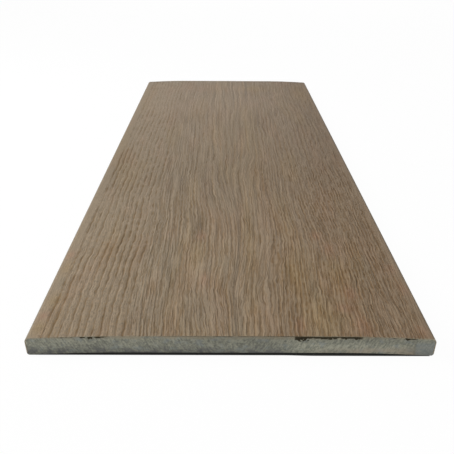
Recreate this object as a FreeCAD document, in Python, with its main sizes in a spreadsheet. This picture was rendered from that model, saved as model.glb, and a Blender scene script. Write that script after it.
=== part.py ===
"""Capped composite fascia board: a short cut length of solid board.

A grey wood-plastic core carries a thin brown cap on its face and on both long edges, and the back is
bare. The board is slightly cupped, as it came off the line: its middle is flat and stands a little off
the floor, and the two long margins bend down to it.

Frame, in millimetres: X across the board, Y along it, Z up. The origin is on the floor under the
board's middle, so the board rests on Z = 0 on its two lower long edges, with its face up.
"""
import FreeCAD
import Part
import math
import os
from enum import IntEnum

import Sketcher

# Driving sizes, in millimetres: cell, alias, value and what the size is.
SIZES = [
    ("A1", "board_length", 820.0, "length between the two saw cuts"),
    ("A2", "board_width", 289.0, "overall width, long edge to long edge"),
    ("A3", "board_thickness", 14.2, "thickness of core and cap together"),
    ("A4", "cap_thickness", 0.7, "thickness of the cap on the face and on the long edges"),
    ("A5", "face_edge_round", 3.4, "radius where the face turns down into a long edge"),
    ("A6", "back_edge_round", 2.0, "radius between a long edge and the back"),
    ("A7", "margin_width", 72.0, "width of each margin that bends down from the flat middle"),
    ("A8", "cup_rise", 2.2, "how high the flat middle of the back stands off the floor"),
]

SHEET = "Sizes"


class Point(IntEnum):
    """Which point of a line or an arc a constraint holds."""

    START = 1
    END = 2
    CENTRE = 3


class Datum(IntEnum):
    """What a section is measured from besides its own lines."""

    LEVEL_AXIS = -1  # the section's level axis, whose start is the origin


ORIGIN = (Datum.LEVEL_AXIS, Point.START)


def make_sheet(doc):
    """The spreadsheet of driving sizes, one cell and one alias for each."""
    sheet = doc.addObject("Spreadsheet::Sheet", SHEET)
    for cell, alias, value, _meaning in SIZES:
        sheet.set(cell, str(value))
        sheet.setAlias(cell, alias)
    doc.recompute()
    return sheet


class Section:
    """The board's cross-section, drawn whole in a sketch.

    Both pieces draw the same lines, and each keeps the ones that bound it. The others stay as
    construction lines, so that cap and core meet on the same faces whatever size is changed.
    """

    def __init__(self, sketch, sheet):
        self.sketch = sketch
        self.width = sheet.board_width
        self.thickness = sheet.board_thickness
        self.cap = sheet.cap_thickness
        self.face_round = sheet.face_edge_round
        self.back_round = sheet.back_edge_round
        self.margin = sheet.margin_width
        self.rise = sheet.cup_rise
        self.ids = {}

    def draw(self, kept):
        """Draws every line and arc, keeps the groups named in kept, and ties them to the sheet."""
        self.draw_flats()
        for side, sign in (("right", 1), ("left", -1)):
            self.draw_side(side, sign)
        for name, number in self.ids.items():
            if name.split()[0] not in kept:
                self.sketch.setConstruction(number, True)
        self.tie_flats()
        for side in ("right", "left"):
            self.tie_side(side)

    def add(self, name, shape):
        """Adds one line or arc. The first word of its name is the group that it belongs to."""
        self.ids[name] = self.sketch.addGeometry(shape, False)

    def line(self, name, start, end):
        self.add(name, Part.LineSegment(FreeCAD.Vector(*start, 0), FreeCAD.Vector(*end, 0)))

    def arc(self, name, centre, radius, from_angle, to_angle):
        """An arc drawn anticlockwise between two angles, which are in radians."""
        circle = Part.Circle(FreeCAD.Vector(*centre, 0), FreeCAD.Vector(0, 0, 1), radius)
        self.add(name, Part.ArcOfCircle(circle, from_angle, to_angle))

    def draw_flats(self):
        """The three level lines of the middle: the cap's outside, its inside, and the back."""
        flat = self.width / 2 - self.margin
        top = self.rise + self.thickness
        self.line("outside flat", (-flat, top), (flat, top))
        self.line("inside flat", (-flat, top - self.cap), (flat, top - self.cap))
        self.line("back flat", (-flat, self.rise), (flat, self.rise))

    def draw_side(self, side, sign):
        """One margin and long edge, close to its final shape. The constraints finish it."""
        bend = self.margin ** 2 / (2 * self.rise)  # radius of the bent face, nearly
        centre = (sign * (self.width / 2 - self.margin), self.rise + self.thickness - bend)
        lean = math.asin(self.margin / bend)  # how far the long edge leans from upright
        level = math.pi / 2

        def place(radius, angle):
            return (centre[0] + sign * radius * math.sin(angle), centre[1] + radius * math.cos(angle))

        def swept(name, middle, radius, angle_a, angle_b):
            """An arc between two angles measured from upright, towards this side."""
            a, b = level - sign * angle_a, level - sign * angle_b
            self.arc(name, middle, radius, min(a, b), max(a, b))

        back_bend = bend - self.thickness
        face_turn = lean - self.face_round / bend
        back_turn = lean - self.back_round / back_bend
        face_middle = place(bend - self.face_round, face_turn)
        back_middle = place(back_bend + self.back_round, back_turn)
        swept(f"outside margin {side}", centre, bend, 0, face_turn)
        swept(f"inside margin {side}", centre, bend - self.cap, 0, face_turn)
        swept(f"back margin {side}", centre, back_bend, 0, back_turn)
        swept(f"outside round {side}", face_middle, self.face_round, face_turn, lean + level)
        swept(f"inside round {side}", face_middle, self.face_round - self.cap, face_turn, lean + level)
        swept(f"back round {side}", back_middle, self.back_round, lean + level, lean + math.pi)

        inset = self.cap / bend
        edge_top, edge_foot = bend - self.face_round, back_bend + self.back_round
        self.line(f"outside edge {side}", place(edge_top, lean), place(edge_foot, lean))
        self.line(f"inside edge {side}", place(edge_top, lean - inset), place(edge_foot, lean - inset))
        self.line(f"lip foot {side}", place(edge_foot, lean), place(edge_foot, lean - inset))

    def tie(self, kind, *where):
        """One constraint. Names of lines and arcs stand for their numbers."""
        numbers = [self.ids[w] if isinstance(w, str) else w for w in where]
        return self.sketch.addConstraint(Sketcher.Constraint(kind, *numbers))

    def size(self, name, formula, kind, *where):
        """One dimension, bound to the sheet by a formula."""
        number = self.tie(kind, *where)
        self.sketch.renameConstraint(number, name)
        self.sketch.setExpression(f"Constraints.{name}", formula)

    def tie_flats(self):
        for level in ("outside flat", "inside flat", "back flat"):
            self.tie("Horizontal", level)
        self.size("back_height", f"{SHEET}.cup_rise", "DistanceY",
                  *ORIGIN, "back flat", Point.START, self.rise)
        self.size("thickness", f"{SHEET}.board_thickness", "DistanceY",
                  "back flat", Point.START, "outside flat", Point.START, self.thickness)
        self.size("cap", f"{SHEET}.cap_thickness", "DistanceY",
                  "inside flat", Point.START, "outside flat", Point.START, self.cap)

    def tie_side(self, side):
        """The joints and sizes of one margin and long edge."""
        right = side == "right"
        flat_end = Point.END if right else Point.START
        # arcs run anticlockwise, so their first point is the outer one on the right side only
        outer, inner = (Point.START, Point.END) if right else (Point.END, Point.START)
        for skin in ("outside", "inside", "back"):
            self.tie("Tangent", f"{skin} flat", flat_end, f"{skin} margin {side}", inner)
        for skin in ("outside", "inside"):
            self.tie("Tangent", f"{skin} margin {side}", outer, f"{skin} round {side}", inner)
            self.tie("Tangent", f"{skin} round {side}", outer, f"{skin} edge {side}", Point.START)
        self.tie("Tangent", f"outside edge {side}", Point.END, f"back round {side}", inner)
        self.tie("Tangent", f"back round {side}", outer, f"back margin {side}", outer)

        # the three bent layers share one centre, and so do the two rounds of the cap
        middle = Point.CENTRE
        for skin in ("inside", "back"):
            self.tie("Coincident", f"outside margin {side}", middle, f"{skin} margin {side}", middle)
        self.tie("Coincident", f"outside round {side}", middle, f"inside round {side}", middle)

        # the long edge stays square to the bent face, the cap keeps one thickness down it, and the
        # cap's lip ends square to the edge
        self.tie("PointOnObject", f"outside margin {side}", middle, f"outside edge {side}")
        self.tie("Parallel", f"inside edge {side}", f"outside edge {side}")
        self.tie("Coincident", f"lip foot {side}", Point.START, f"outside edge {side}", Point.END)
        self.tie("Coincident", f"lip foot {side}", Point.END, f"inside edge {side}", Point.END)
        self.tie("Perpendicular", f"lip foot {side}", f"outside edge {side}")

        reach = self.width / 2
        self.size(f"flat_{side}", f"{SHEET}.board_width / 2 - {SHEET}.margin_width", "DistanceX",
                  *self.from_middle(f"outside margin {side}", right), reach - self.margin)
        self.size(f"width_{side}", f"{SHEET}.board_width / 2 - {SHEET}.face_edge_round", "DistanceX",
                  *self.from_middle(f"outside round {side}", right), reach - self.face_round)
        self.size(f"face_round_{side}", f"{SHEET}.face_edge_round", "Radius",
                  f"outside round {side}", self.face_round)
        self.size(f"back_round_{side}", f"{SHEET}.back_edge_round", "Radius",
                  f"back round {side}", self.back_round)
        self.size(f"floor_{side}", f"{SHEET}.back_edge_round", "DistanceY",
                  *ORIGIN, f"back round {side}", middle, self.back_round)

    @staticmethod
    def from_middle(name, right):
        """The two points of a distance from the board's middle out to an arc's centre."""
        centre = (name, Point.CENTRE)
        return (*ORIGIN, *centre) if right else (*centre, *ORIGIN)


def make_piece(doc, sheet, name, kept):
    """One piece of the board: the section's kept lines, drawn along the whole length."""
    body = doc.addObject("PartDesign::Body", name)
    body.Label = name
    upright = next(f for f in body.Origin.OriginFeatures if f.Role == "XZ_Plane")

    sketch = body.newObject("Sketcher::SketchObject", f"{name}_section")
    sketch.AttachmentSupport = [(upright, "")]
    sketch.MapMode = "FlatFace"
    Section(sketch, sheet).draw(kept)
    doc.recompute()

    pad = body.newObject("PartDesign::Pad", f"{name}_length")
    pad.Profile = sketch
    pad.SideType = "Symmetric"
    pad.setExpression("Length", f"{SHEET}.board_length")
    body.Tip = pad
    doc.recompute()
    return body


def check(doc, bodies):
    """Stops with a message if an object of the document failed or a piece isn't a sound solid."""
    for item in doc.Objects:
        if "Invalid" in item.State or "Error" in item.State:
            raise RuntimeError(f"{item.Label} failed: {item.State}")
    for body in bodies:
        shape = body.Shape
        if shape.isNull() or not shape.isValid() or len(shape.Solids) != 1:
            raise RuntimeError(f"{body.Label} isn't one valid solid")


def main():
    doc = FreeCAD.newDocument("fascia_board")
    sheet = make_sheet(doc)
    core = make_piece(doc, sheet, "core", kept=("inside", "lip", "back"))
    cap = make_piece(doc, sheet, "cap", kept=("outside", "inside", "lip"))
    doc.recompute()
    check(doc, (core, cap))

    os.makedirs("parts", exist_ok=True)
    for body in (core, cap):
        body.Shape.exportStep(f"parts/{body.Label}.step")
        box = body.Shape.BoundBox
        print(body.Label, "volume", round(body.Shape.Volume, 1), "box",
              [round(v, 3) for v in (box.XMin, box.YMin, box.ZMin, box.XMax, box.YMax, box.ZMax)])


main()
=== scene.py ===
"""Capped composite fascia board: its looks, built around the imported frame.

Two pieces stand for the two solids of the frame. The cap is a thin brown skin, embossed along the grain
of a flat-sawn plank. The core is grey composite, with a saw-cut face at each end and a plain drawn back.

Lengths are metres. X runs across the board, Y along it away from the camera, and Z up.
"""
import logging
import math
from dataclasses import dataclass, field
from enum import Enum
from functools import cached_property

import bmesh
import bpy
from mathutils import Matrix, Vector, noise


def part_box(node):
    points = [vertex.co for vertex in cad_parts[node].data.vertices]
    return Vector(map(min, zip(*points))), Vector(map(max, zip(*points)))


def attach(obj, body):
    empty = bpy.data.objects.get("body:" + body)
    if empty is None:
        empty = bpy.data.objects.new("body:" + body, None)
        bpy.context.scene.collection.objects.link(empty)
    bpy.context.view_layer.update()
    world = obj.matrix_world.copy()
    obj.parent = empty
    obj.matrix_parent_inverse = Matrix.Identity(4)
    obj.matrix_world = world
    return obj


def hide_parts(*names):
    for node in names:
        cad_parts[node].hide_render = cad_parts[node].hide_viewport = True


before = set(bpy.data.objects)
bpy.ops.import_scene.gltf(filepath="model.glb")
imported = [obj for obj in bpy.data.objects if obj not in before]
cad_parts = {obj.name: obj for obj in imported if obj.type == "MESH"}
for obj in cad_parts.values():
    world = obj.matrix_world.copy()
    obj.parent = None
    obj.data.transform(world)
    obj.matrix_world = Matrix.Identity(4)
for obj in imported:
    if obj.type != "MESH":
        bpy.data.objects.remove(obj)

LOG = logging.getLogger("fascia_board")
MM = 0.001

Colour = tuple[float, float, float]


def tone(red: float, green: float, blue: float) -> Colour:
    """A colour as the eye names it, turned to the linear values that a shader takes.

    Args:
        red, green, blue: display values from 0 to 255.

    Returns:
        The linear colour.
    """
    def linear(value: float) -> float:
        share = value / 255
        return share / 12.92 if share <= 0.04045 else ((share + 0.055) / 1.055) ** 2.4
    return linear(red), linear(green), linear(blue)


def ease(value: float, low: float, high: float) -> float:
    """A smooth step from 0 at low to 1 at high. With low above high it falls instead."""
    share = min(1.0, max(0.0, (value - low) / (high - low)))
    return share * share * (3 - 2 * share)


def wander(across: float, along: float, seed: float) -> float:
    """Smooth noise of about -1 to 1, whose hills are about one unit apart."""
    return 1.6 * noise.noise(Vector((across, along, seed)))


class End(Enum):
    """The two saw-cut ends. The value is the end's sign along Y."""

    NEAR = -1
    FAR = 1


@dataclass(frozen=True)
class Section:
    """The board's cross-section, as its source draws it.

    Attributes:
        half_width: from the middle to the outermost point of a long edge.
        top: height of the flat middle of the face.
        thickness: of core and cap together.
        cap: thickness of the cap.
        face_round: radius where the face turns down into a long edge.
        back_round: radius between a long edge and the back.
        margin: width of each margin that bends down from the flat middle.
    """

    half_width: float
    top: float
    thickness: float = 14.2 * MM
    cap: float = 0.7 * MM
    face_round: float = 3.4 * MM
    back_round: float = 2.0 * MM
    margin: float = 72.0 * MM

    @property
    def flat(self) -> float:
        """Half the width of the flat middle."""
        return self.half_width - self.margin

    def turn_to_round(self, bend: float) -> float:
        """How far the bent face has turned, in radians, where the face's round begins."""
        return math.asin((self.margin - self.face_round) / (bend - self.face_round))

    def turn_to_edge(self, bend: float) -> float:
        """How far the long edge leans from upright, in radians."""
        return self.turn_to_round(bend) + math.asin(self.face_round / (bend - self.face_round))

    def bend(self) -> float:
        """Radius of the bent face at which the back's rounded corners just touch the floor."""
        low, high = 2 * self.margin, 1000 * self.margin
        for _ in range(60):
            middle = (low + high) / 2
            corner = middle - self.thickness + self.back_round
            lean = self.turn_to_edge(middle) - math.asin(self.back_round / corner)
            touches = self.top - middle + corner * math.cos(lean) < self.back_round
            low, high = (middle, high) if touches else (low, middle)
        return high


class Outline:
    """Points on the section's skins, by how far they lie from the middle along the skin."""

    def __init__(self, section: Section) -> None:
        self.section = section
        self.bend = section.bend()
        self.round_turn = section.turn_to_round(self.bend)
        self.edge_turn = section.turn_to_edge(self.bend)
        self.centre = Vector((section.flat, section.top - self.bend))
        self.to_round = section.flat + self.bend * self.round_turn
        self.round_sweep = math.pi / 2 + self.edge_turn - self.round_turn
        self.to_edge = self.to_round + section.face_round * self.round_sweep
        self.back_bend = self.bend - section.thickness
        self.edge_top = math.sqrt(self.bend ** 2 - 2 * self.bend * section.face_round)
        self.edge_foot = math.sqrt(self.back_bend ** 2 + 2 * self.back_bend * section.back_round)
        self.to_foot = self.to_edge + self.edge_top - self.edge_foot

        self.corner = self.back_bend + section.back_round
        self.corner_turn = self.edge_turn - math.asin(section.back_round / self.corner)
        corner_sweep = math.pi / 2 + self.corner_turn - self.edge_turn
        self.back_to_corner = section.flat + self.back_bend * self.corner_turn
        self.back_to_edge = self.back_to_corner + section.back_round * corner_sweep
        self.back_to_foot = self.back_to_edge + section.cap

    @staticmethod
    def _heading(turn: float) -> Vector:
        """The direction that lies turn radians from straight up."""
        return Vector((math.sin(turn), math.cos(turn)))

    def face(self, reach: float, inset: float = 0.0) -> Vector:
        """A point of the cap's outer skin, or of a skin parallel to it.

        Args:
            reach: distance from the middle along the outer skin, negative to the left.
            inset: how deep below the outer skin the point lies.

        Returns:
            The point as (x, z).
        """
        side, way = math.copysign(1, reach), abs(reach)
        section = self.section
        if way <= section.flat:
            point = Vector((way, section.top - inset))
        elif way <= self.to_round:
            point = self.centre + (self.bend - inset) * self._heading((way - section.flat) / self.bend)
        elif way <= self.to_edge:
            middle = self.centre + (self.bend - section.face_round) * self._heading(self.round_turn)
            turn = self.round_turn + (way - self.to_round) / section.face_round
            point = middle + (section.face_round - inset) * self._heading(turn)
        else:
            down = self.edge_top - (way - self.to_edge)
            point = self.centre + down * self._heading(self.edge_turn)
            point -= inset * self._heading(self.edge_turn + math.pi / 2)
        return Vector((side * point.x, point.y))

    def back(self, reach: float) -> Vector:
        """A point of the back's skin, out to the inner end of the foot that the cap's lip stands on.

        Args:
            reach: distance from the middle along the back, negative to the left.

        Returns:
            The point as (x, z).
        """
        side, way = math.copysign(1, reach), abs(reach)
        section = self.section
        if way <= section.flat:
            point = Vector((way, section.top - section.thickness))
        elif way <= self.back_to_corner:
            point = self.centre + self.back_bend * self._heading((way - section.flat) / self.back_bend)
        elif way <= self.back_to_edge:
            middle = self.centre + self.corner * self._heading(self.corner_turn)
            turn = self.corner_turn + math.pi - (way - self.back_to_corner) / section.back_round
            point = middle + section.back_round * self._heading(turn)
        else:
            point = self.centre + self.edge_foot * self._heading(self.edge_turn)
            point -= (way - self.back_to_edge) * self._heading(self.edge_turn + math.pi / 2)
        return Vector((side * point.x, point.y))


@dataclass(frozen=True)
class Zone:
    """A band of the face in which the embossed lines keep one spacing.

    Attributes:
        start: where the band starts, across the board.
        spacing: from line to line.
        depth: of the deepest stretch of a groove.
        streak: usual length of a groove before it fades, at the near end.
        far_streak: the same at the far end.
        steady: how much of a groove stays where it fades, 0 to 1.
        filled: how deep the further lines are that come up between the first ones towards the near end,
            as a share of the first ones' depth.
        fills_from: where along the board the further lines begin to come up.
        soft: how much higher than usual the banks' share of the depth is, which makes a groove wider.
        bank: how far the banks reach at most to each side of a groove's bottom.
    """

    start: float
    spacing: float
    depth: float
    streak: float
    far_streak: float
    steady: float
    filled: float = 0.0
    fills_from: float = 90 * MM
    soft: float = 0.0
    bank: float = 0.9 * MM

    def streaks_to(self, start: float, length: float) -> float:
        """How many streaks follow each other from the near cut to a place.

        Args:
            start: how far the place is from the near cut.
            length: of the board.

        Returns:
            The number, whose steps widen or narrow evenly along the board.
        """
        change = (1 / self.far_streak - 1 / self.streak) / length
        return start / self.streak + 0.5 * change * start * start


@dataclass(frozen=True)
class Sway:
    """One sideways waver that all lines of a neighbourhood share.

    Attributes:
        reach: how far it moves them.
        width, length: of its hills, across and along the board.
        seed: of its noise.
    """

    reach: float
    width: float
    length: float
    seed: float


@dataclass(frozen=True)
class Eye:
    """A small smooth island that the grain parts around."""

    across: float
    along: float
    half_width: float
    half_length: float


@dataclass(frozen=True)
class Column:
    """One line of the cap's mesh, which follows the grain from end to end.

    Attributes:
        rest: where the column lies before the grain bends it.
        zone: the band that it belongs to, or None on the smooth edges.
        owner: number of the groove that it belongs to, which seeds that groove's own wobble.
        share: 1 at the bottom of the groove, less on its banks and on the ridge at its right.
        extra: whether it belongs to a line that comes up towards the near end only.
    """

    rest: float
    zone: Zone | None = None
    owner: int = 0
    share: float = 0.0
    extra: bool = False


@dataclass
class Grain:
    """The embossed grain of a flat-sawn plank, as a flow of lines along the board.

    Attributes:
        left, right: the two borders of the embossed part. Outside them the cap is smooth.
        zones: bands of line spacing, from left to right.
        eyes: the smooth islands.
        sways: how the grain wavers, from the slowest sway to the quickest.
        axis: where across the board the tips of the nested arches lie.
        stray: how far to either side of the axis a tip may lie.
        arch_width: how far from the axis the arches reach at the near end.
        arch_fade: how far from the axis the grain runs straight again.
        arches_start, arches_end: the stretch along the board in which they close.
        calm_start, calm_end: the stretch along the board in which the grooves grow shallower.
        calm: what is left of their depth past it, as a share.
        near, length: where the near cut is along the board, and the board's length.
    """

    left: float = -135.4 * MM
    right: float = 138.0 * MM
    zones: tuple[Zone, ...] = (
        Zone(-135.4 * MM, 5.65 * MM, 0.47 * MM, 36 * MM, 15 * MM, 0.52, soft=0.02),
        Zone(-73.1 * MM, 2.5 * MM, 0.30 * MM, 12 * MM, 24 * MM, 0.35),
        Zone(-58.1 * MM, 5.7 * MM, 0.32 * MM, 34 * MM, 50 * MM, 0.5, filled=0.8, soft=0.1),
        Zone(-23.9 * MM, 8.0 * MM, 0.31 * MM, 56 * MM, 80 * MM, 0.5, filled=0.9, fills_from=-20 * MM,
             soft=0.18, bank=0.75 * MM),
        Zone(40.1 * MM, 5.3 * MM, 0.35 * MM, 18 * MM, 45 * MM, 0.55, filled=1.0, soft=0.2),
        Zone(66.6 * MM, 5.95 * MM, 0.34 * MM, 14 * MM, 20 * MM, 0.45, filled=1.0, soft=0.2),
    )
    eyes: tuple[Eye, ...] = (
        Eye(29 * MM, -352 * MM, 3.4 * MM, 14 * MM),
        Eye(-71 * MM, -214 * MM, 4.0 * MM, 9 * MM),
        Eye(67 * MM, -356 * MM, 2.4 * MM, 13 * MM),
        Eye(38 * MM, -294 * MM, 3.0 * MM, 8 * MM),
        Eye(24 * MM, -30 * MM, 3.4 * MM, 16 * MM),
    )
    sways: tuple[Sway, ...] = (
        Sway(2.6 * MM, 75 * MM, 170 * MM, 3.1),
        Sway(0.9 * MM, 30 * MM, 66 * MM, 7.7),
        Sway(0.35 * MM, 11 * MM, 24 * MM, 12.9),
    )
    axis: float = 6 * MM
    stray: float = 3.5 * MM
    arch_width: float = 10 * MM
    arch_fade: float = 78 * MM
    arches_start: float = -380 * MM
    arches_end: float = 250 * MM
    calm_start: float = -310 * MM
    calm_end: float = 330 * MM
    calm: float = 0.5
    near: float = -410 * MM
    length: float = 820 * MM
    columns: list[Column] = field(default_factory=list)

    def lay_columns(self) -> None:
        """Lays the columns from left to right: four for each groove."""
        ends = [zone.start for zone in self.zones[1:]] + [self.right]
        grooves = []
        for zone, end in zip(self.zones, ends):
            count = max(1, round((end - zone.start) / zone.spacing))
            pitch = (end - zone.start) / count
            for step in range(count):
                grooves.append((zone.start + (step + 0.5) * pitch, zone, False))
                if zone.filled and step + 1 < count:
                    grooves.append((zone.start + (step + 1.0) * pitch, zone, True))
        for owner, (rest, zone, extra) in enumerate(grooves):
            before = rest - grooves[owner - 1][0] if owner else 2 * (rest - self.left)
            after = grooves[owner + 1][0] - rest if owner + 1 < len(grooves) else 2 * (self.right - rest)
            bank = min(0.29 * min(before, after), zone.bank)
            left_share, right_share = 0.40 + zone.soft, 0.12 + zone.soft
            for off, share in ((-bank, left_share), (0.0, 1.0), (bank, right_share), (after / 2, 0.22)):
                self.columns.append(Column(rest + off, zone, owner, share, extra))

    def squeeze(self, rest: float, along: float) -> float:
        """Where the nested arches move a column, before the grain wavers.

        Args:
            rest: the column's place across the board before the grain bends it.
            along: the place along the board.

        Returns:
            The place across the board.
        """
        way = abs(rest - self.axis)
        gone = self.arch_width * ease(along, self.arches_end, self.arches_start)
        soft = 1.2 * MM

        def past(value: float) -> float:
            return soft * math.log1p(math.exp(min(50.0, value / soft)))
        lost = way - past(way - gone) + past(-gone)
        hold = 0.94 * ease(way, self.arch_fade, 1.1 * self.arch_width)
        tip = self.axis + self.stray * wander(0.3, along / (150 * MM), 15.1) * ease(way, self.arch_fade, 0)
        return tip + math.copysign(way - lost * hold, rest - self.axis)

    def bent(self, rest: float, along: float) -> float:
        """Where a column runs at one place along the board.

        Args:
            rest: the column's place across the board before the grain bends it.
            along: the place along the board.

        Returns:
            The place across the board.
        """
        across = self.squeeze(rest, along)
        for eye in self.eyes:
            off = (across - eye.across) / eye.half_width
            far = (along - eye.along) / eye.half_length
            if abs(off) < 5 and abs(far) < 3:
                across += eye.half_width * 0.9 * off * math.exp(-0.5 * off * off - far * far)
        waver = sum(sway.reach * wander(across / sway.width, along / sway.length, sway.seed)
                    for sway in self.sways)
        border = min(across - self.left, self.right - across)
        return across + waver * ease(border, 0, 24 * MM)

    def spread(self, rest: float, along: float) -> float:
        """How far the grain is spread at a place: 1 as laid, less where arches close up."""
        step = 0.4 * MM
        return (self.squeeze(rest + step, along) - self.squeeze(rest - step, along)) / (2 * step)

    def wobble(self, column: Column, along: float) -> float:
        """The sideways wobble that a groove has for itself."""
        slow = wander(0.24 * column.owner, along / (34 * MM), 21.3)
        quick = wander(0.42 * column.owner, along / (8 * MM), 33.9)
        room = min(1.0, column.zone.spacing / (5 * MM)) * min(1.0, self.spread(column.rest, along))
        border = min(column.rest - self.left, self.right - column.rest)
        restless = 0.52 + 0.2 * ease(along, -330 * MM, -100 * MM)
        return room * (0.55 * slow + restless * quick) * MM * ease(border, 0, 3 * MM)

    def pressed(self, column: Column, along: float) -> float:
        """How deep a column is pressed in at one place along the board, 0 or more."""
        zone = column.zone
        passed = zone.streaks_to(along - self.near, self.length)
        ragged = wander(1.9 * column.owner, passed, 5.5)
        ragged += 0.8 * wander(2.3 * column.owner, 3.6 * passed, 9.5)
        steady = zone.steady * (1 - 0.2 * ease(along, -330 * MM, -120 * MM))
        shown = steady + (1 - steady) * ease(ragged, -0.45, 0.25)
        shown *= 1 + 0.3 * wander(3.1 * column.owner, along / (5 * MM), 13.3)
        shown *= ease(self.spread(column.rest, along), 0.15, 0.6)
        shown *= 1 - (1 - self.calm) * ease(along, self.calm_start, self.calm_end)
        patch = min(1.2, 0.9 + 0.3 * wander(column.rest / (24 * MM), along / (70 * MM), 17.7))
        if column.extra:
            shown *= zone.filled * ease(along + 60 * MM * ragged - zone.fills_from, 0, -220 * MM)
        return zone.depth * column.share * shown * patch


class Pigment(Enum):
    """The tints that the cap's brown drifts to. The value is the name of the mesh's attribute."""

    GOLD = "gold"
    ROSE = "rose"
    ASH = "ash"


@dataclass(frozen=True)
class Tint:
    """A soft patch of one pigment, stretched along the board."""

    pigment: Pigment
    across: float
    along: float
    half_width: float
    half_length: float
    strength: float

    def at(self, across: float, along: float) -> float:
        """How strong the patch is at a point of the face."""
        off = (across - self.across) / self.half_width
        far = (along - self.along) / self.half_length
        return self.strength * math.exp(-off * off - far * far)


def patches(pigment: Pigment, *rows: tuple[float, float, float, float, float]) -> tuple[Tint, ...]:
    """Several patches of one pigment.

    Args:
        pigment: the tint that they share.
        rows: for each patch its place across and along and its half width and half length, all four in
            millimetres, and its strength.

    Returns:
        The patches.
    """
    return tuple(Tint(pigment, *(length * MM for length in lengths), strength)
                 for *lengths, strength in rows)


@dataclass(frozen=True)
class Dye:
    """How the pigments are spread over the cap.

    Attributes:
        drifts: pigments that come and go slowly, with the width, length and strength of their drifts.
        tints: patches in places of their own.
    """

    drifts: tuple[tuple[Pigment, float, float, float], ...] = (
        (Pigment.GOLD, 24 * MM, 130 * MM, 0.30),
        (Pigment.ROSE, 15 * MM, 60 * MM, 0.18),
        (Pigment.ASH, 28 * MM, 110 * MM, 0.18),
    )
    tints: tuple[Tint, ...] = (
        *patches(
            Pigment.GOLD,
            (18, -250, 5, 90, 0.6), (-27, -285, 6, 25, 0.6), (52, -318, 9, 26, 0.6),
            (88, -322, 12, 30, 0.8), (76, -386, 20, 26, 0.7), (30, -100, 8, 60, 0.5),
            (18, 60, 45, 190, 0.3), (48, 347, 26, 20, 0.8), (126, 320, 14, 60, 0.9),
            (-137, -308, 4, 12, 0.7), (-135, -361, 5, 10, 0.8), (-138, -397, 4, 8, 0.9),
        ),
        *patches(
            Pigment.ROSE,
            (-26, -249, 5, 9, 0.8), (80, -248, 5, 9, 0.8), (88, -275, 7, 14, 0.7),
            (-21, -331, 3.5, 12, 0.8), (94, -352, 5, 10, 0.9), (86, -373, 8, 7, 0.8),
            (95, -396, 5, 12, 0.9), (50, -396, 4, 9, 0.8), (136, -308, 4, 8, 0.7), (138, -342, 4, 9, 0.7),
            (137, -401, 5, 8, 0.7), (-45, 350, 75, 32, 0.3), (-60, 200, 60, 110, 0.2),
            (-139, -285, 4, 8, 0.8), (-138, -382, 4, 6, 0.9),
        ),
        *patches(
            Pigment.ASH,
            (-61, -300, 18, 90, 0.5), (-108, -190, 16, 45, 0.4), (-4, -302, 10, 16, 0.5),
            (11, -400, 12, 12, 0.5), (66, -352, 4, 14, 0.6), (114, -312, 12, 22, 0.6),
            (-136, -334, 4, 9, 0.8),
        ),
    )

    def amount(self, pigment: Pigment, across: float, along: float) -> float:
        """How much of a pigment there is at a point of the face, 0 to 1."""
        total = sum(tint.at(across, along) for tint in self.tints if tint.pigment is pigment)
        for kind, width, length, strength in self.drifts:
            if kind is pigment:
                total += strength * ease(wander(across / width, along / length, 71.7 + length), 0.05, 0.7)
        return min(0.5, 0.6 * total)


@dataclass(frozen=True)
class Tear:
    """A spot where the saw tore the core out from under the cap."""

    across: float
    half_width: float
    height: float
    depth: float


@dataclass
class Board:
    """The sizes that both pieces share, read from the frame.

    Attributes:
        length: between the two saw cuts.
        section: the cross-section.
        tears: the torn spots along the top of the near cut.
    """

    length: float
    section: Section
    tears: tuple[Tear, ...] = (
        Tear(-117.5 * MM, 8.8 * MM, 0.6 * MM, 0.40 * MM),
        Tear(-103.7 * MM, 2.0 * MM, 1.0 * MM, 0.9 * MM),
        Tear(-98.5 * MM, 1.7 * MM, 2.0 * MM, 0.9 * MM),
        Tear(-92.0 * MM, 3.9 * MM, 1.1 * MM, 0.8 * MM),
        Tear(-86.5 * MM, 2.4 * MM, 0.6 * MM, 0.4 * MM),
        Tear(49.8 * MM, 4.8 * MM, 3.2 * MM, 1.4 * MM),
        Tear(57.5 * MM, 6.4 * MM, 1.6 * MM, 1.0 * MM),
        Tear(66.0 * MM, 4.0 * MM, 1.6 * MM, 1.0 * MM),
        Tear(71.5 * MM, 3.2 * MM, 2.0 * MM, 1.1 * MM),
        Tear(76.8 * MM, 3.6 * MM, 1.0 * MM, 0.9 * MM),
        Tear(84.8 * MM, 7.6 * MM, 1.7 * MM, 1.0 * MM),
        Tear(115.8 * MM, 2.8 * MM, 0.6 * MM, 0.35 * MM),
        Tear(124.2 * MM, 2.0 * MM, 1.6 * MM, 0.9 * MM),
        Tear(128.4 * MM, 2.3 * MM, 0.9 * MM, 0.8 * MM),
    )

    @classmethod
    def from_frame(cls) -> "Board":
        """Reads the board's box from the frame."""
        low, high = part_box("cap")
        return cls(length=high[1] - low[1], section=Section(half_width=high[0], top=high[2]))

    def torn(self, across: float, below: float, end: End) -> float:
        """How deep the saw tore the cut back, at a point of an end.

        Args:
            across: the point's place across the board.
            below: how far it lies under the cap.
            end: which of the two cuts it is on.

        Returns:
            The depth, 0 where the cut is whole.
        """
        if end is End.FAR:
            return 0.0
        depth = 0.0
        for tear in self.tears:
            off = (across - tear.across) / tear.half_width
            if abs(off) < 1.6:
                ragged = 1 + 0.6 * wander(across / (1.6 * MM), below / (1.3 * MM), 2.2)
                width = ease(abs(off), 1.25, 0.45)
                height = ease(below / (tear.height * ragged), 1.15, 0.55)
                depth = max(depth, tear.depth * width * height)
        return depth


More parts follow.
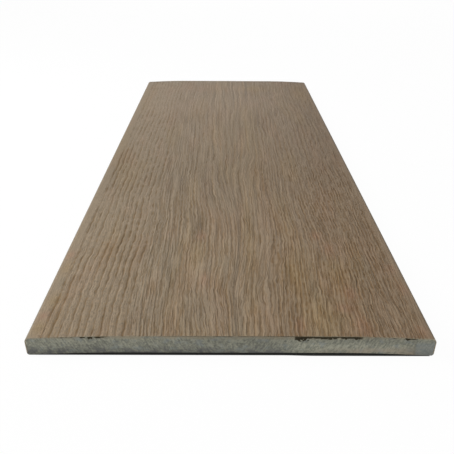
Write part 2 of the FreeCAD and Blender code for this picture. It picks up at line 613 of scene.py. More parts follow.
def finish_mesh(bm: bmesh.types.BMesh, name: str, sharp: float) -> bpy.types.Object:
    """Turns a finished bmesh into a smooth-shaded object whose hard corners stay crisp.

    Args:
        bm: the shape, which is freed.
        name: of the piece.
        sharp: angle between faces, in radians, past which an edge stays crisp.

    Returns:
        The object, linked into the scene.
    """
    bmesh.ops.recalc_face_normals(bm, faces=bm.faces[:])
    for edge in bm.edges:
        edge.smooth = edge.calc_face_angle(0.0) < sharp
    for face in bm.faces:
        face.smooth = True
    mesh = bpy.data.meshes.new(name)
    bm.to_mesh(mesh)
    bm.free()
    piece = bpy.data.objects.new(name, mesh)
    bpy.context.collection.objects.link(piece)
    return piece


@dataclass
class Cap:
    """The brown cap: an embossed skin over the face and both long edges.

    Attributes:
        board: the shared sizes.
        grain: the embossed lines.
        dye: the pigments.
        rows: mesh steps along the board.
        crowded: how much closer the steps lie at the near end than on average, as a share.
        smooth_steps: mesh steps from the grain's border to the round of each long edge.
        round_steps: mesh steps round each upper long edge.
        edge_steps: mesh steps down each long edge.
        dark_depth: how deep a groove is when the painted shade in it is darkest.
    """

    board: Board
    grain: Grain = field(default_factory=Grain)
    dye: Dye = field(default_factory=Dye)
    rows: int = 284
    crowded: float = 0.42
    smooth_steps: int = 3
    round_steps: int = 9
    edge_steps: int = 2
    dark_depth: float = 0.34 * MM

    def side_columns(self, border: float, outline: Outline) -> list[Column]:
        """The columns of a smooth edge, from the border of the grain out to the lip's foot."""
        def spaced(low: float, high: float, steps: int) -> list[float]:
            return [low + (high - low) * step / steps for step in range(steps)]

        places = spaced(abs(border), outline.to_round, self.smooth_steps)
        places += spaced(outline.to_round, outline.to_edge, self.round_steps)
        places += spaced(outline.to_edge, outline.to_foot, self.edge_steps)
        return [Column(math.copysign(place, border)) for place in (*places, outline.to_foot)]

    def lay_out(self, outline: Outline) -> list[Column]:
        """All columns of the skin, from the left lip's foot to the right one's.

        Returns:
            The columns. Their rest places are distances along the skin.
        """
        self.grain.lay_columns()
        left = self.side_columns(self.grain.left, outline)[::-1]
        right = self.side_columns(self.grain.right, outline)[1:]
        return left + self.grain.columns + right

    def build(self) -> bpy.types.Object:
        """Makes the skin on a grid, then closes it with its rims, its inside and its lips.

        Returns:
            The finished piece.
        """
        outline = Outline(self.board.section)
        columns = self.lay_out(outline)
        half = self.board.length / 2
        inset = self.board.section.cap

        bm = bmesh.new()
        column_of = bm.verts.layers.int.new("column")
        row_of = bm.verts.layers.int.new("row")
        layers = {name: bm.verts.layers.float.new(name)
                  for name in ("groove", *(pigment.value for pigment in Pigment))}
        bmesh.ops.create_grid(bm, x_segments=len(columns) - 1, y_segments=self.rows, size=0.5)
        for vert in bm.verts:
            vert[column_of] = round((vert.co.x + 0.5) * (len(columns) - 1))
            vert[row_of] = round((vert.co.y + 0.5) * self.rows)
        for vert in bm.verts:
            share = vert[row_of] / self.rows
            along = self.board.length * (share - self.crowded * share * (1 - share)) - half
            self.drape(vert, columns[vert[column_of]], along, outline, layers)

        near = self.row_edges(bm, row_of, 0)
        far = self.row_edges(bm, row_of, self.rows)
        rim = self.pull(bm, near)
        self.lay_inside(rim, columns, column_of, outline, inset, -half)
        inside = self.pull(bm, self.edges_between(rim))
        self.lay_inside(inside, columns, column_of, outline, inset, half)
        bmesh.ops.bridge_loops(bm, edges=far + self.edges_between(inside))
        bmesh.ops.holes_fill(bm, edges=[edge for edge in bm.edges if edge.is_boundary], sides=0)
        self.keep_grain_map(bm, columns, column_of)
        return finish_mesh(bm, "embossed_cap", math.radians(50))

    def drape(self, vert: bmesh.types.BMVert, column: Column, along: float, outline: Outline,
              layers: dict[str, bmesh.types.BMLayerItem]) -> None:
        """Lays one point of the grid on the section, bent with the grain, pressed in and dyed.

        Args:
            vert: the point.
            column: its column.
            along: its place along the board.
            outline: the section.
            layers: what the mesh keeps for the finish: depth of the groove and amount of each pigment.
        """
        reach, depth = column.rest, 0.0
        if column.zone:
            reach = self.grain.bent(column.rest, along) + self.grain.wobble(column, along)
            depth = self.grain.pressed(column, along)
        point = outline.face(reach, depth)
        vert.co = (point.x, along, point.y)
        vert[layers["groove"]] = depth / self.dark_depth
        for pigment in Pigment:
            vert[layers[pigment.value]] = self.dye.amount(pigment, point.x, along)

    @staticmethod
    def row_edges(bm: bmesh.types.BMesh, row_of: bmesh.types.BMLayerItem,
                  row: int) -> list[bmesh.types.BMEdge]:
        """The edges that run across the board in one row of the grid."""
        return [edge for edge in bm.edges if all(vert[row_of] == row for vert in edge.verts)]

    @staticmethod
    def edges_between(verts: list[bmesh.types.BMVert]) -> list[bmesh.types.BMEdge]:
        """The edges whose two ends are both among some points."""
        chosen = set(verts)
        found = {edge for vert in verts for edge in vert.link_edges if edge.other_vert(vert) in chosen}
        return list(found)

    @staticmethod
    def pull(bm: bmesh.types.BMesh, edges: list[bmesh.types.BMEdge]) -> list[bmesh.types.BMVert]:
        """Extrudes a chain of edges, and returns the new points, still in the old ones' places."""
        made = bmesh.ops.extrude_edge_only(bm, edges=edges)["geom"]
        return [item for item in made if isinstance(item, bmesh.types.BMVert)]

    @staticmethod
    def lay_inside(verts: list[bmesh.types.BMVert], columns: list[Column],
                   column_of: bmesh.types.BMLayerItem, outline: Outline, inset: float,
                   along: float) -> None:
        """Moves points onto the cap's inner skin, at one place along the board."""
        for vert in verts:
            point = outline.face(columns[vert[column_of]].rest, inset)
            vert.co = (point.x, along, point.y)

    @staticmethod
    def keep_grain_map(bm: bmesh.types.BMesh, columns: list[Column],
                       column_of: bmesh.types.BMLayerItem) -> None:
        """Writes the map that the finish follows: place across the unbent grain, and place along it."""
        layer = bm.loops.layers.uv.new("grain")
        for face in bm.faces:
            for loop in face.loops:
                loop[layer].uv = (columns[loop.vert[column_of]].rest, loop.vert.co.y)


@dataclass
class Core:
    """The grey core: two saw-cut ends and the long skins between them.

    Attributes:
        board: the shared sizes.
        columns: mesh steps across an end.
        rows: mesh steps from its top to its back.
        saw_depth: of the marks that the saw left.
        die_line: depth of the fine drawn lines along the back.
    """

    board: Board
    columns: int = 460
    rows: int = 24
    saw_depth: float = 0.16 * MM
    die_line: float = 0.05 * MM

    def build(self) -> bpy.types.Object:
        """Makes one end on a grid and draws it out along the board.

        Returns:
            The finished piece.
        """
        outline = Outline(self.board.section)
        half = self.board.length / 2
        inset = self.board.section.cap
        bm = bmesh.new()
        bmesh.ops.create_grid(bm, x_segments=self.columns, y_segments=self.rows, size=0.5)
        below = bm.verts.layers.float.new("below")
        torn = bm.verts.layers.float.new("torn")
        for vert in bm.verts:
            share, drop = 2 * vert.co.x, 0.5 - vert.co.y
            top = outline.face(share * outline.to_edge, inset)
            foot = outline.back(share * outline.back_to_foot)
            point = top.lerp(foot, drop)
            vert.co = (point.x, -half, point.y)
            vert[below] = top.y - point.y
            if drop == 1:
                self.score(vert)
        drawn = bmesh.ops.extrude_face_region(bm, geom=bm.faces[:], use_keep_orig=True)["geom"]
        far = [item for item in drawn if isinstance(item, bmesh.types.BMVert)]
        bmesh.ops.translate(bm, verts=far, vec=(0, self.board.length, 0))
        for vert in bm.verts:
            end = End.NEAR if vert.co.y < 0 else End.FAR
            gone = self.board.torn(vert.co.x, vert[below], end)
            vert[torn] = gone / MM
            vert.co.y -= end.value * (self.sawn(vert.co.x, vert.co.z, end) + gone)
        return finish_mesh(bm, "composite_core", math.radians(40))

    def score(self, vert: bmesh.types.BMVert) -> None:
        """Presses a point of the back into one of the fine drawn lines."""
        across = vert.co.x / MM
        line = max(0.0, wander(across / 2.3, 0.5, 61.1)) + max(0.0, wander(across / 0.9, 0.5, 67.3))
        clear = ease(vert.co.z, 0.0, 0.4 * MM)
        vert.co.z += self.die_line * line * clear

    def sawn(self, across: float, height: float, end: End) -> float:
        """How far the saw's marks lie behind the plane of an end, 0 or more.

        Args:
            across: the point's place across the board.
            height: its height over the floor.
            end: which of the two cuts it is on.

        Returns:
            The depth of the mark.
        """
        a, b = across / MM, height / MM
        lean = 0.5 - ease(a, -12, 20)
        mark = 0.5 + 0.5 * wander((a + lean * b) / 1.3, b / 6, 41.0 + end.value)
        pits = 0.5 + 0.5 * wander(a / 1.5, b / 1.2, 47.0 + end.value)
        return self.saw_depth * max(0.0, 0.65 * mark + 0.35 * pits)


class Value:
    """A number or a node's output in a material. Sums on it add Math nodes."""

    def __init__(self, shader: "Shader", source: object) -> None:
        self.shader = shader
        self.source = source

    def _math(self, operation: str, *operands: object) -> "Value":
        """One Math node on this value and others, in the order given."""
        made = self.shader.node("ShaderNodeMath", {"operation": operation}, dict(enumerate(operands)))
        return Value(self.shader, made.outputs[0])

    def __add__(self, other: object) -> "Value":
        """Sum."""
        return self._math("ADD", self, other)

    def __radd__(self, other: object) -> "Value":
        """Sum with a number on the left."""
        return self._math("ADD", other, self)

    def __sub__(self, other: object) -> "Value":
        """Difference."""
        return self._math("SUBTRACT", self, other)

    def __rsub__(self, other: object) -> "Value":
        """Difference with a number on the left."""
        return self._math("SUBTRACT", other, self)

    def __mul__(self, other: object) -> "Value":
        """Product."""
        return self._math("MULTIPLY", self, other)

    def __rmul__(self, other: object) -> "Value":
        """Product with a number on the left."""
        return self._math("MULTIPLY", other, self)

    def __abs__(self) -> "Value":
        """Size without its sign."""
        return self._math("ABSOLUTE", self)

    def __pow__(self, other: object) -> "Value":
        """Power."""
        return self._math("POWER", self, other)

    def most(self, other: object) -> "Value":
        """The larger of two values."""
        return self._math("MAXIMUM", self, other)

    def rise(self, low: float, high: float) -> "Value":
        """A smooth step from 0 at low to 1 at high."""
        settings = {"interpolation_type": "SMOOTHSTEP"}
        inputs = {"Value": self, "From Min": low, "From Max": high}
        made = self.shader.node("ShaderNodeMapRange", settings, inputs)
        return Value(self.shader, made.outputs["Result"])

    def fall(self, low: float, high: float) -> "Value":
        """A smooth step from 1 at low to 0 at high."""
        return 1 - self.rise(low, high)

    def between(self, start: float, full: float, fading: float, end: float) -> "Value":
        """1 from full to fading, and a smooth way down to 0 at start and at end."""
        return self.rise(start, full) * self.fall(fading, end)


class Shader:
    """The nodes of one material or world, and the ways to add to them."""

    def __init__(self, owner: bpy.types.Material | bpy.types.World) -> None:
        owner.use_nodes = True
        self.owner = owner
        self.tree = owner.node_tree
        self.output = next(node for node in self.tree.nodes if node.type.startswith("OUTPUT"))
        self.surface = self.output.inputs["Surface"].links[0].from_node

    @classmethod
    def of_material(cls, name: str) -> "Shader":
        """Starts a new material, whose surface is a Principled BSDF."""
        return cls(bpy.data.materials.new(name))

    def node(self, kind: str, settings: dict | None = None,
             inputs: dict | None = None) -> bpy.types.Node:
        """Adds a node.

        Args:
            kind: the node's type.
            settings: its own settings, which are set first.
            inputs: numbers, colours or links by the socket's name or number.

        Returns:
            The node.
        """
        made = self.tree.nodes.new(kind)
        for key, value in (settings or {}).items():
            setattr(made, key, value)
        self.fill(made, inputs or {})
        return made

    def fill(self, node: bpy.types.Node, inputs: dict) -> None:
        """Gives several sockets of a node their values, by the socket's name or number."""
        for key, value in inputs.items():
            self.feed(node.inputs[key], value)

    def feed(self, socket: bpy.types.NodeSocket, value: object) -> None:
        """Gives a socket its value: a link, a colour or a plain number."""
        value = value.source if isinstance(value, Value) else value
        if isinstance(value, bpy.types.NodeSocket):
            self.tree.links.new(value, socket)
        elif isinstance(value, tuple) and len(value) == 3 and socket.type == "RGBA":
            socket.default_value = (*value, 1.0)
        else:
            socket.default_value = value

    @cached_property
    def place(self) -> bpy.types.NodeSocket:
        """Object coordinates, in metres."""
        return self.node("ShaderNodeTexCoord").outputs["Object"]

    @cached_property
    def axes(self) -> tuple[Value, Value, Value]:
        """The same coordinates one by one: across the board, along it and up."""
        return self.split(self.place)

    def split(self, vector: bpy.types.NodeSocket) -> tuple[Value, Value, Value]:
        """The three parts of a vector."""
        made = self.node("ShaderNodeSeparateXYZ", None, {0: vector})
        return tuple(Value(self, made.outputs[axis]) for axis in "XYZ")

    def vector(self, first: object, second: object, third: object) -> bpy.types.NodeSocket:
        """A vector from its three parts."""
        return self.node("ShaderNodeCombineXYZ", None, {0: first, 1: second, 2: third}).outputs[0]

    def seen(self) -> Value:
        """1 for what the camera sees, also in a mirror or through glass, and 0 for other rays."""
        path = self.node("ShaderNodeLightPath").outputs
        rays = [Value(self, path[f"Is {kind} Ray"]) for kind in ("Camera", "Glossy", "Transmission")]
        return rays[0].most(rays[1]).most(rays[2])

    def attribute(self, name: str) -> Value:
        """A number that the mesh keeps at its points."""
        made = self.node("ShaderNodeAttribute", {"attribute_name": name})
        return Value(self, made.outputs["Fac"])

    def mottle(self, vector: bpy.types.NodeSocket, size: tuple[float, float, float], detail: float = 2.0,
               roughness: float = 0.5, shift: float = 0.0) -> Value:
        """Noise from 0 to 1, whose spots have a size along each axis.

        Args:
            vector: the coordinates.
            size: of the spots along X, Y and Z, in the coordinates' own units.
            detail: how many finer layers are added.
            roughness: how strong the finer layers are.
            shift: moves the pattern, so that two of one size differ.

        Returns:
            The noise.
        """
        scale = tuple(1 / length for length in size)
        mapped = self.node("ShaderNodeMapping", None, {"Vector": vector, "Location": (shift, shift, shift),
                                                       "Scale": scale})
        made = self.node("ShaderNodeTexNoise", None, {"Vector": mapped.outputs[0], "Scale": 1.0,
                                                      "Detail": detail, "Roughness": roughness})
        return Value(self, made.outputs["Fac"])

    def blend(self, share: object, first: object, second: object, how: str = "MIX") -> bpy.types.NodeSocket:
        """Mixes two colours by a share from 0 to 1."""
        made = self.node("ShaderNodeMix", {"data_type": "RGBA", "blend_type": how},
                         {0: share, 6: first, 7: second})
        return made.outputs[2]

    def shade(self, colour: object, gain: Value) -> bpy.types.NodeSocket:
        """Makes a colour lighter or darker by a factor near 1."""
        made = self.node("ShaderNodeVectorMath", {"operation": "SCALE"}, {0: colour, "Scale": gain})
        return made.outputs[0]

    def bump(self, height: Value, distance: float) -> bpy.types.NodeSocket:
        """A Bump node for the surface's Normal."""
        made = self.node("ShaderNodeBump", None, {"Height": height, "Distance": distance, "Strength": 1.0})
        return made.outputs[0]


@dataclass(frozen=True)
class Fade:
    """A smooth change of painted light along the board.

    Attributes:
        start, end: where along the board it begins and is complete.
        change: how much lighter the painted light makes the cap, as a share; below 0 it is painted shade.
    """

    start: float
    end: float
    change: float


@dataclass(frozen=True)
class Lines:
    """The cap's finest lines, which are too fine for its mesh.

    Attributes:
        rest: the place across the board before the grain bends it.
        arched: 1 where the grain nests in arches, and 0 on the plainer left part.
        fibre: short fibres, from about -0.5 to 0.5.
        streak: long streaks, from about -0.5 to 0.5.
        stroke: pressed strokes, from 0 to 1.
    """

    rest: Value
    arched: Value
    fibre: Value
    streak: Value
    stroke: Value


@dataclass(frozen=True)
class CapFinish:
    """Embossed brown cap: streaked pigment, painted shade in the grooves, painted light and shade along the
    board, matte.

    Attributes:
        brown: the usual brown, as it is on the left.
        russet: the usual brown on the right: redder, and a little darker as painted shade where the light
            from the left falls off.
        gold, rose, ash: the tints that the pigment drifts to.
        deep: what the far right corner keeps of each primary colour, as painted shade.
        rim: the sawn rims, which the saw smeared with the core's grey.
        side: the long edges below the round.
        groove: what the deepest groove leaves of each primary colour: painted shade in the grooves, on top
            of the shade of their relief.
        roughness: of the lands.
        gloss: specular level.
        relief: height of the finest lines.
        near_tone: the painted light at the near end, as a factor.
        fades: how the painted light and shade change from there to the far end.
        first_line: where a dark line runs beside the smooth left edge.
    """

    brown: Colour = tone(141, 126, 106)
    russet: Colour = tone(136, 118, 97)
    gold: Colour = tone(146, 125, 90)
    rose: Colour = tone(153, 120, 98)
    ash: Colour = tone(134, 123, 104)
    deep: Colour = (0.87, 0.83, 0.77)
    rim: Colour = tone(148, 138, 119)
    side: Colour = tone(118, 112, 98)
    groove: Colour = (0.68, 0.59, 0.47)
    roughness: float = 0.66
    gloss: float = 0.10
    relief: float = 0.42 * MM
    # painted light and shade along the board
    near_tone: float = 1.03
    fades: tuple[Fade, ...] = (
        Fade(-410 * MM, -190 * MM, -0.03),
        Fade(-340 * MM, -80 * MM, -0.07),
        Fade(-280 * MM, -50 * MM, -0.04),
        Fade(-190 * MM, -60 * MM, -0.06),
        Fade(120 * MM, 260 * MM, 0.06),
        Fade(120 * MM, 380 * MM, 0.02),
        Fade(150 * MM, 300 * MM, -0.035),
        Fade(394 * MM, 408 * MM, -0.08),
    )
    first_line: float = -131.8 * MM

    def make(self, board: Board, grain: Grain) -> bpy.types.Material:
        """Builds the material.

        Args:
            board: the sizes, which say where the edges are.
            grain: the embossed grain, which says where the smooth edges begin.

        Returns:
            The material.
        """
        shader = Shader.of_material("cap_polymer")
        groove = shader.attribute("groove")
        lines = self.lines(shader, board, grain)
        open_face = self.open_face(shader, grain)
        plain = 1 - lines.arched

        # painted shade: the grooves and the pressed strokes get a darker colour, on top of the shade of
        # their relief
        ragged = (1.3 + 1.1 * plain) * lines.fibre * groove.rise(0.02, 0.3)
        pressed = (groove + ragged).rise(0.0, 1.0).most(0.75 * lines.stroke * open_face)
        colour = shader.blend(pressed, self.pigmented(shader, board), self.groove, "MULTIPLY")
        speckle = open_face * (0.75 * lines.streak + (0.85 + 0.5 * plain) * lines.fibre)
        relief = open_face * (0.9 * lines.streak + 0.8 * lines.fibre - 0.6 * lines.stroke) - 0.3 * groove
        shader.fill(shader.surface, {
            "Base Color": shader.shade(colour, self.lit(shader, lines) + speckle),
            "Roughness": self.roughness + 0.14 * groove,
            "Normal": shader.bump(relief, self.relief),
            "Specular IOR Level": self.gloss,
        })
        return shader.owner

    def pigmented(self, shader: Shader, board: Board) -> bpy.types.NodeSocket:
        """The brown with its drifts of pigment, a redder right side and a far right corner both darkened
        with painted shade, its darker long edges and its greyer sawn rims.
        """
        across, along, _up = shader.axes
        half_width, half_length = board.section.half_width, board.length / 2
        # a redder brown on the right, a little darker as painted shade of the light from the left
        colour = shader.blend(across.rise(-0.6 * half_width, 0.8 * half_width), self.brown, self.russet)
        for pigment, tint in ((Pigment.ASH, self.ash), (Pigment.GOLD, self.gold), (Pigment.ROSE, self.rose)):
            colour = shader.blend(shader.attribute(pigment.value), colour, tint)
        # painted shade: the far right corner is made darker
        corner = across.rise(75 * MM, 135 * MM) * along.rise(-200 * MM, 300 * MM)
        colour = shader.blend(corner, colour, self.deep, "MULTIPLY")
        edge = abs(across).rise(half_width - 2.4 * MM, half_width - 0.8 * MM)
        colour = shader.blend(0.85 * edge, colour, self.side)
        return shader.blend(abs(along).rise(half_length - 0.2 * MM, half_length), colour, self.rim)

    def open_face(self, shader: Shader, grain: Grain) -> Value:
        """How strongly the finest lines show: less on the smooth edges and towards the far end."""
        across, along, _up = shader.axes
        smooth = across.fall(grain.left - 0.4 * MM, grain.left + 0.6 * MM)
        smooth = smooth.most(across.rise(grain.right - 0.6 * MM, grain.right + 0.4 * MM))
        return (1 - 0.5 * smooth) * (1 - 0.38 * along.rise(-380 * MM, 80 * MM))

    def lines(self, shader: Shader, board: Board, grain: Grain) -> Lines:
        """Draws the finest lines on the grain's own map, so that they run with the grooves.

        The map's way along the board is drawn out towards the far end, where the lines are longer.
        """
        _across, along, _up = shader.axes
        rest, way, _none = shader.split(shader.node("ShaderNodeUVMap", {"uv_map": "grain"}).outputs["UV"])
        arched = rest.rise(-84 * MM, -66 * MM)
        start = way + board.length / 2
        drawn_out = 80 * MM * ((start * (1 / (40 * MM)) + 1) ** 0.5 - 1)
        kept = 0.6 * (1 - arched) + 0.6 * rest.rise(50 * MM, 90 * MM)
        passed = drawn_out + kept * (start - drawn_out)
        straight = shader.vector(rest, passed, 0.0)

        # how far from the arches' tips, so that a line on one side meets its like on the other
        away = ((rest - grain.axis) ** 2.0 + (4 * MM) ** 2) ** 0.5
        side = rest.rise(grain.axis - 1 * MM, grain.axis + 1 * MM)
        nested = shader.vector(away - 0.05 * passed, passed, 5 * side)

        fibre = shader.mottle(straight, (0.85 * MM, 3.2 * MM, 1), 2.0, 0.6, 7.0) - 0.5
        plain_streak = shader.mottle(straight, (1.5 * MM, 16 * MM, 1), 2.0, 0.5, 2.0) - 0.5
        nested_streak = shader.mottle(nested, (1.8 * MM, 42 * MM, 1), 2.0, 0.55, 3.0) - 0.5
        wide_streak = shader.mottle(nested, (3.4 * MM, 60 * MM, 1), 1.0, 0.5, 11.0) - 0.5
        wide_streak = wide_streak * along.rise(-300 * MM, -20 * MM) * away.fall(22 * MM, 48 * MM)
        streak = plain_streak * (1 - arched) + (1.5 * nested_streak + 1.3 * wide_streak) * arched
        stroke = shader.mottle(nested, (1.25 * MM, 20 * MM, 1), 1.0, 0.6, 5.0).fall(0.38, 0.52)
        return Lines(rest, arched, fibre, streak, stroke * (0.35 + 0.65 * arched))

    def lit(self, shader: Shader, lines: Lines) -> Value:
        """Painted light and shade on the cap from place to place, as a factor near 1, with a dark line
        beside the smooth left edge.
        """
        across, along, _up = shader.axes
        # painted light and shade along the board, from the near end to the far end
        lit = self.near_tone
        for fade in self.fades:
            lit = lit + fade.change * along.rise(fade.start, fade.end)
        # painted shade: the left edge darker, more so towards the far end
        lit = lit - across.fall(-140 * MM, -112 * MM) * (0.02 + 0.02 * along.rise(-380 * MM, 0.0))
        # painted light: a lighter band at the near end, a little right of the middle
        lit = lit + 0.07 * along.fall(-300 * MM, -150 * MM) * abs(across - 18 * MM).fall(20 * MM, 70 * MM)
        # painted light: the right part of the near half lighter
        lit = lit + 0.05 * across.rise(35 * MM, 80 * MM) * along.fall(-60 * MM, 60 * MM)
        return lit - 0.06 * abs(lines.rest - self.first_line).fall(0.5 * MM, 1.6 * MM)


@dataclass(frozen=True)
class Marks:
    """The core's patterns, each from 0 to 1.

    Attributes:
        cloud, blotch: large and middling patches.
        fleck: bits of wood fibre.
        saw: the saw's slanting marks.
        drawn: the fine lines along the back.
    """

    cloud: Value
    blotch: Value
    fleck: Value
    saw: Value
    drawn: Value


@dataclass(frozen=True)
class CoreFinish:
    """Saw-cut and drawn composite: grey-green, mottled with wood fibre.

    Attributes:
        pale, dark: the two ends of the mottling.
        warm: the browner tint low on the right.
        cool: the bluer tint of some blotches, and of the last stretch on the right.
        bruise: the darker blotches low on the left and in the middle.
        smear: the cap's brown that the saw drew down over the cut.
        torn: inside of the torn spots, a dark brown that paints the shade in these recesses.
        roughness: of the cut.
        gloss: specular level.
        relief: height of the finest marks.
        last_from: where the bluer last stretch begins, behind a dark scratch.
    """

    pale: Colour = tone(152, 151, 135)
    dark: Colour = tone(108, 109, 99)
    warm: Colour = tone(150, 138, 122)
    cool: Colour = tone(128, 134, 134)
    bruise: Colour = tone(100, 100, 102)
    smear: Colour = tone(142, 130, 108)
    torn: Colour = tone(58, 53, 39)
    roughness: float = 0.78
    gloss: float = 0.14
    relief: float = 0.16 * MM
    last_from: float = 130 * MM

    def make(self, board: Board) -> bpy.types.Material:
        """Builds the material.

        Args:
            board: the sizes, which say where the saw cuts and the top are.

        Returns:
            The material.
        """
        shader = Shader.of_material("core_composite")
        _across, along, _up = shader.axes
        half_length = board.length / 2
        cut = abs(along).rise(half_length - 4 * MM, half_length - 2.4 * MM)
        marks = self.marks(shader)
        colour = self.stained(shader, self.mottled(shader, marks, cut), marks, cut, board.section)
        relief = (marks.saw * 0.5 + marks.fleck * 0.5) * cut + marks.drawn * (1 - cut)
        shader.fill(shader.surface, {
            "Base Color": shader.shade(colour, self.lit(shader, cut)),
            "Roughness": self.roughness - 0.15 * (1 - cut),
            "Normal": shader.bump(relief, self.relief),
            "Specular IOR Level": self.gloss,
        })
        return shader.owner

    def marks(self, shader: Shader) -> Marks:
        """The patterns. The saw's marks lean to the right on the left part and to the left on the right."""
        place = shader.place
        across, _along, up = shader.axes
        lean = 0.5 - across.rise(-12 * MM, 20 * MM)
        slanting = shader.vector(across + lean * up, up, 0.0)
        return Marks(
            cloud=shader.mottle(place, (11 * MM, 11 * MM, 4.5 * MM), 3.0, 0.6, 4.0),
            blotch=shader.mottle(place, (6 * MM, 6 * MM, 4 * MM), 2.0, 0.6, 14.0),
            fleck=shader.mottle(place, (1.7 * MM, 1.7 * MM, 1.5 * MM), 2.0, 0.6, 9.0),
            saw=shader.mottle(slanting, (1.3 * MM, 5 * MM, 1), 2.0, 0.6, 1.0),
            drawn=shader.mottle(place, (1.2 * MM, 900 * MM, 3 * MM), 3.0, 0.6, 6.0),
        )

    def mottled(self, shader: Shader, marks: Marks, cut: Value) -> bpy.types.NodeSocket:
        """The mottling of the cuts and of the back, between dark and pale."""
        sawn = 0.5 + 0.4 * (marks.cloud - 0.5) + 0.7 * (marks.fleck - 0.5) + 0.8 * (marks.saw - 0.5)
        back = 0.45 * marks.cloud + 0.5 * marks.drawn + 0.05
        share = (sawn * cut + back * (1 - cut)).rise(0.26, 0.74)
        return shader.blend(share, self.dark, self.pale)

    def stained(self, shader: Shader, colour: bpy.types.NodeSocket, marks: Marks, cut: Value,
                section: Section) -> bpy.types.NodeSocket:
        """Lays the stains of the cut over its mottling, one after the other, and the painted shade of the
        torn spots.
        """
        across, _along, up = shader.axes
        low_left = up.fall(2 * MM, 10 * MM) * across.fall(28 * MM, 50 * MM) * marks.blotch.fall(0.42, 0.56)
        low_right = across.rise(40 * MM, 100 * MM) * up.fall(2 * MM, 9 * MM) * marks.cloud.rise(0.35, 0.6)
        below_cap = section.top - section.cap - up
        corner = abs(across).rise(80 * MM, 130 * MM)
        smeared = below_cap.fall(0.4 * MM, 3.2 * MM) * corner.most(marks.cloud.rise(0.3, 0.6))
        last = across.rise(self.last_from - 0.5 * MM, self.last_from + 1.5 * MM) * up.fall(9 * MM, 12.5 * MM)
        for share, stain in (
                (0.45 * marks.blotch.rise(0.5, 0.68) * cut, self.cool),
                (0.75 * low_left * cut, self.bruise),
                (0.7 * low_right, self.warm),
                (0.7 * smeared * cut, self.smear),
                # painted shade: the torn recesses get a dark colour, on top of the shade of their depth
                (shader.attribute("torn").rise(0.04, 0.4), self.torn),
                (0.5 * last * cut, self.cool)):
            colour = shader.blend(share, colour, stain)
        return colour

    def lit(self, shader: Shader, cut: Value) -> Value:
        """How light the core is from place to place, as a factor near 1."""
        across, _along, up = shader.axes
        right = across.between(34 * MM, 50 * MM, 112 * MM, 128 * MM) * up.fall(8 * MM, 12 * MM)
        low_left = across.fall(-10 * MM, 50 * MM) * up.fall(1 * MM, 8 * MM)
        dull = across.between(-40 * MM, -14 * MM, 20 * MM, 56 * MM) * up.rise(7 * MM, 12 * MM)
        under_cap = across.between(72 * MM, 90 * MM, 118 * MM, 132 * MM) * up.rise(8 * MM, 12 * MM)
        scratch = abs(across - self.last_from).fall(0.3 * MM, 1.6 * MM) * cut
        return 1 + 0.22 * right - 0.30 * low_left - 0.14 * dull - 0.08 * under_cap - 0.14 * scratch


@dataclass(frozen=True)
class FloorFinish:
    """Plain white floor that fades to pure white for the camera and keeps a faint shadow, with a painted
    shadow under the board.

    Attributes:
        white: the floor's colour.
        shaded: its dark colour under the board, a painted shadow.
        roughness: of the floor.
        glare: how much of what the camera sees is plain white.
        inset: how far inside the board's long edges the painted shadow ends.
        edge_soft, cut_soft: how softly it ends there and at the cuts.
        bulge: how far it reaches out past the cuts on the right.
    """

    white: Colour = (0.9, 0.9, 0.9)
    shaded: Colour = (0.06, 0.06, 0.055)
    roughness: float = 0.9
    glare: float = 0.97
    inset: float = 4 * MM
    edge_soft: float = 1.2 * MM
    cut_soft: float = 0.2 * MM
    bulge: float = 0.6 * MM

    def make(self, half_width: float, half_length: float) -> bpy.types.Material:
        """Builds the material.

        Args:
            half_width, half_length: of the board that lies on the floor.

        Returns:
            The material.
        """
        shader = Shader.of_material("studio_floor")
        across, along, _up = shader.axes
        # painted shadow: the floor under the board, and just past the cuts on the right, gets a dark colour
        # that the white glow leaves alone
        side = half_width - self.inset
        front = half_length + self.bulge * across.rise(36 * MM, 60 * MM)
        under = abs(across).fall(side, side + self.edge_soft) * (front - abs(along)).rise(0.0, self.cut_soft)
        shader.fill(shader.surface, {
            "Base Color": shader.blend(under, self.white, self.shaded),
            "Roughness": self.roughness,
        })
        glow = shader.node("ShaderNodeEmission", None, {"Color": (1.0, 1.0, 1.0), "Strength": 1.0})
        mixed = shader.node("ShaderNodeMixShader", None,
                            {0: shader.seen() * self.glare * (1 - under), 1: shader.surface.outputs[0],
                             2: glow.outputs[0]})
        shader.feed(shader.output.inputs["Surface"], mixed.outputs[0])
        return shader.owner


@dataclass(frozen=True)
class Lamp:
    """A square soft lamp that faces the board.

    Attributes:
        name: what it is called in the scene.
        place: where it hangs.
        size: its side.
        power: in watts.
    """

    name: str
    place: tuple[float, float, float]
    size: float
    power: float

    def hang(self) -> None:
        """Adds the lamp to the scene."""
        light = bpy.data.lights.new(self.name, "AREA")
        light.size = self.size
        light.energy = self.power
        holder = bpy.data.objects.new(self.name, light)
        bpy.context.collection.objects.link(holder)
        turn = (-Vector(self.place)).to_track_quat("-Z", "Y").to_matrix().to_4x4()
        holder.matrix_world = Matrix.Translation(self.place) @ turn


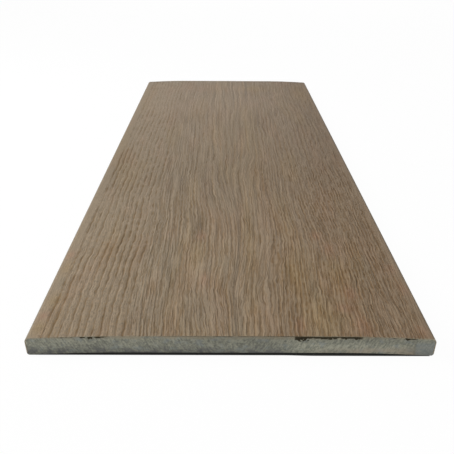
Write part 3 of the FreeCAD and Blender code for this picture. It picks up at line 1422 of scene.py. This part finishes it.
@dataclass
class Studio:
    """Floor, light and camera, none of them part of the board.

    Attributes:
        board: what lies on the floor.
        floor_size: side of the square floor.
        sky: strength of the even light from all round.
        lamps: one on the left, one behind the camera, and a low one past the far end, which hazes the
            far half.
        eye: the camera's place.
        pitch, yaw, roll: how the camera looks down, to the right, and leans, in degrees.
        lens, sensor: focal length and width of the picture behind the lens, in millimetres.
    """

    board: Board
    floor_size: float = 14.0
    sky: float = 0.34
    lamps: tuple[Lamp, ...] = (
        Lamp("key", (-0.95, 0.0, 0.75), 0.7, 14.0),
        Lamp("fill", (0.1, -2.6, 0.9), 1.6, 16.0),
        Lamp("back", (0.15, 2.6, 0.6), 1.2, 10.0),
    )
    eye: tuple[float, float, float] = (-0.00559, -0.78738, 0.27557)
    pitch: float = 24.925
    yaw: float = 0.366
    roll: float = 0.348
    lens: float = 51.32
    sensor: float = 36.0

    def lay_floor(self) -> None:
        """A square floor under the board."""
        bm = bmesh.new()
        bmesh.ops.create_grid(bm, x_segments=1, y_segments=1, size=self.floor_size / 2)
        floor = finish_mesh(bm, "floor", math.pi)
        floor.data.materials.append(FloorFinish().make(self.board.section.half_width, self.board.length / 2))

    def hang_lights(self) -> None:
        """Even light from the world, which the camera sees as white, and three large soft lamps."""
        shader = Shader(bpy.data.worlds.new("studio"))
        bpy.context.scene.world = shader.owner
        shader.fill(shader.surface, {
            "Color": (1.0, 1.0, 1.0),
            "Strength": self.sky + (1 - self.sky) * shader.seen(),
        })
        for lamp in self.lamps:
            lamp.hang()

    def stand_camera(self) -> None:
        """The camera, where the photograph was taken from."""
        lens = bpy.data.cameras.new("camera")
        lens.sensor_width = self.sensor
        lens.lens = self.lens
        lens.clip_start = 0.01
        camera = bpy.data.objects.new("camera", lens)
        bpy.context.collection.objects.link(camera)
        turn = Matrix.Rotation(math.radians(-self.yaw), 4, "Z")
        turn = turn @ Matrix.Rotation(math.radians(90 - self.pitch), 4, "X")
        turn = turn @ Matrix.Rotation(math.radians(self.roll), 4, "Z")
        camera.matrix_world = Matrix.Translation(self.eye) @ turn
        bpy.context.scene.camera = camera

    def build(self) -> None:
        """Sets the whole stage."""
        self.lay_floor()
        self.hang_lights()
        self.stand_camera()
        bpy.context.scene.view_settings.view_transform = "Standard"


def hand_over(piece: bpy.types.Object, node: str, finish: bpy.types.Material) -> None:
    """Dresses a piece and says which node of the frame it stands for.

    Args:
        piece: the finished piece.
        node: the node that it replaces.
        finish: its material.
    """
    piece.data.materials.append(finish)
    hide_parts(node)
    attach(piece, "root")
    triangles = sum(len(face.vertices) - 2 for face in piece.data.polygons)
    LOG.info("%s stands for %s with %d triangles", piece.name, node, triangles)


def main() -> None:
    """Builds the board and its stage."""
    logging.basicConfig(level=logging.INFO, format="%(name)s: %(message)s")
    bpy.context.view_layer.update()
    board = Board.from_frame()
    cap, core = Cap(board), Core(board)
    hand_over(cap.build(), "cap", CapFinish().make(board, cap.grain))
    hand_over(core.build(), "core", CoreFinish().make(board))
    Studio(board).build()
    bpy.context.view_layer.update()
    LOG.info("bend radius %.3f mm", Outline(board.section).bend / MM)


if __name__ == "__main__":
    main()
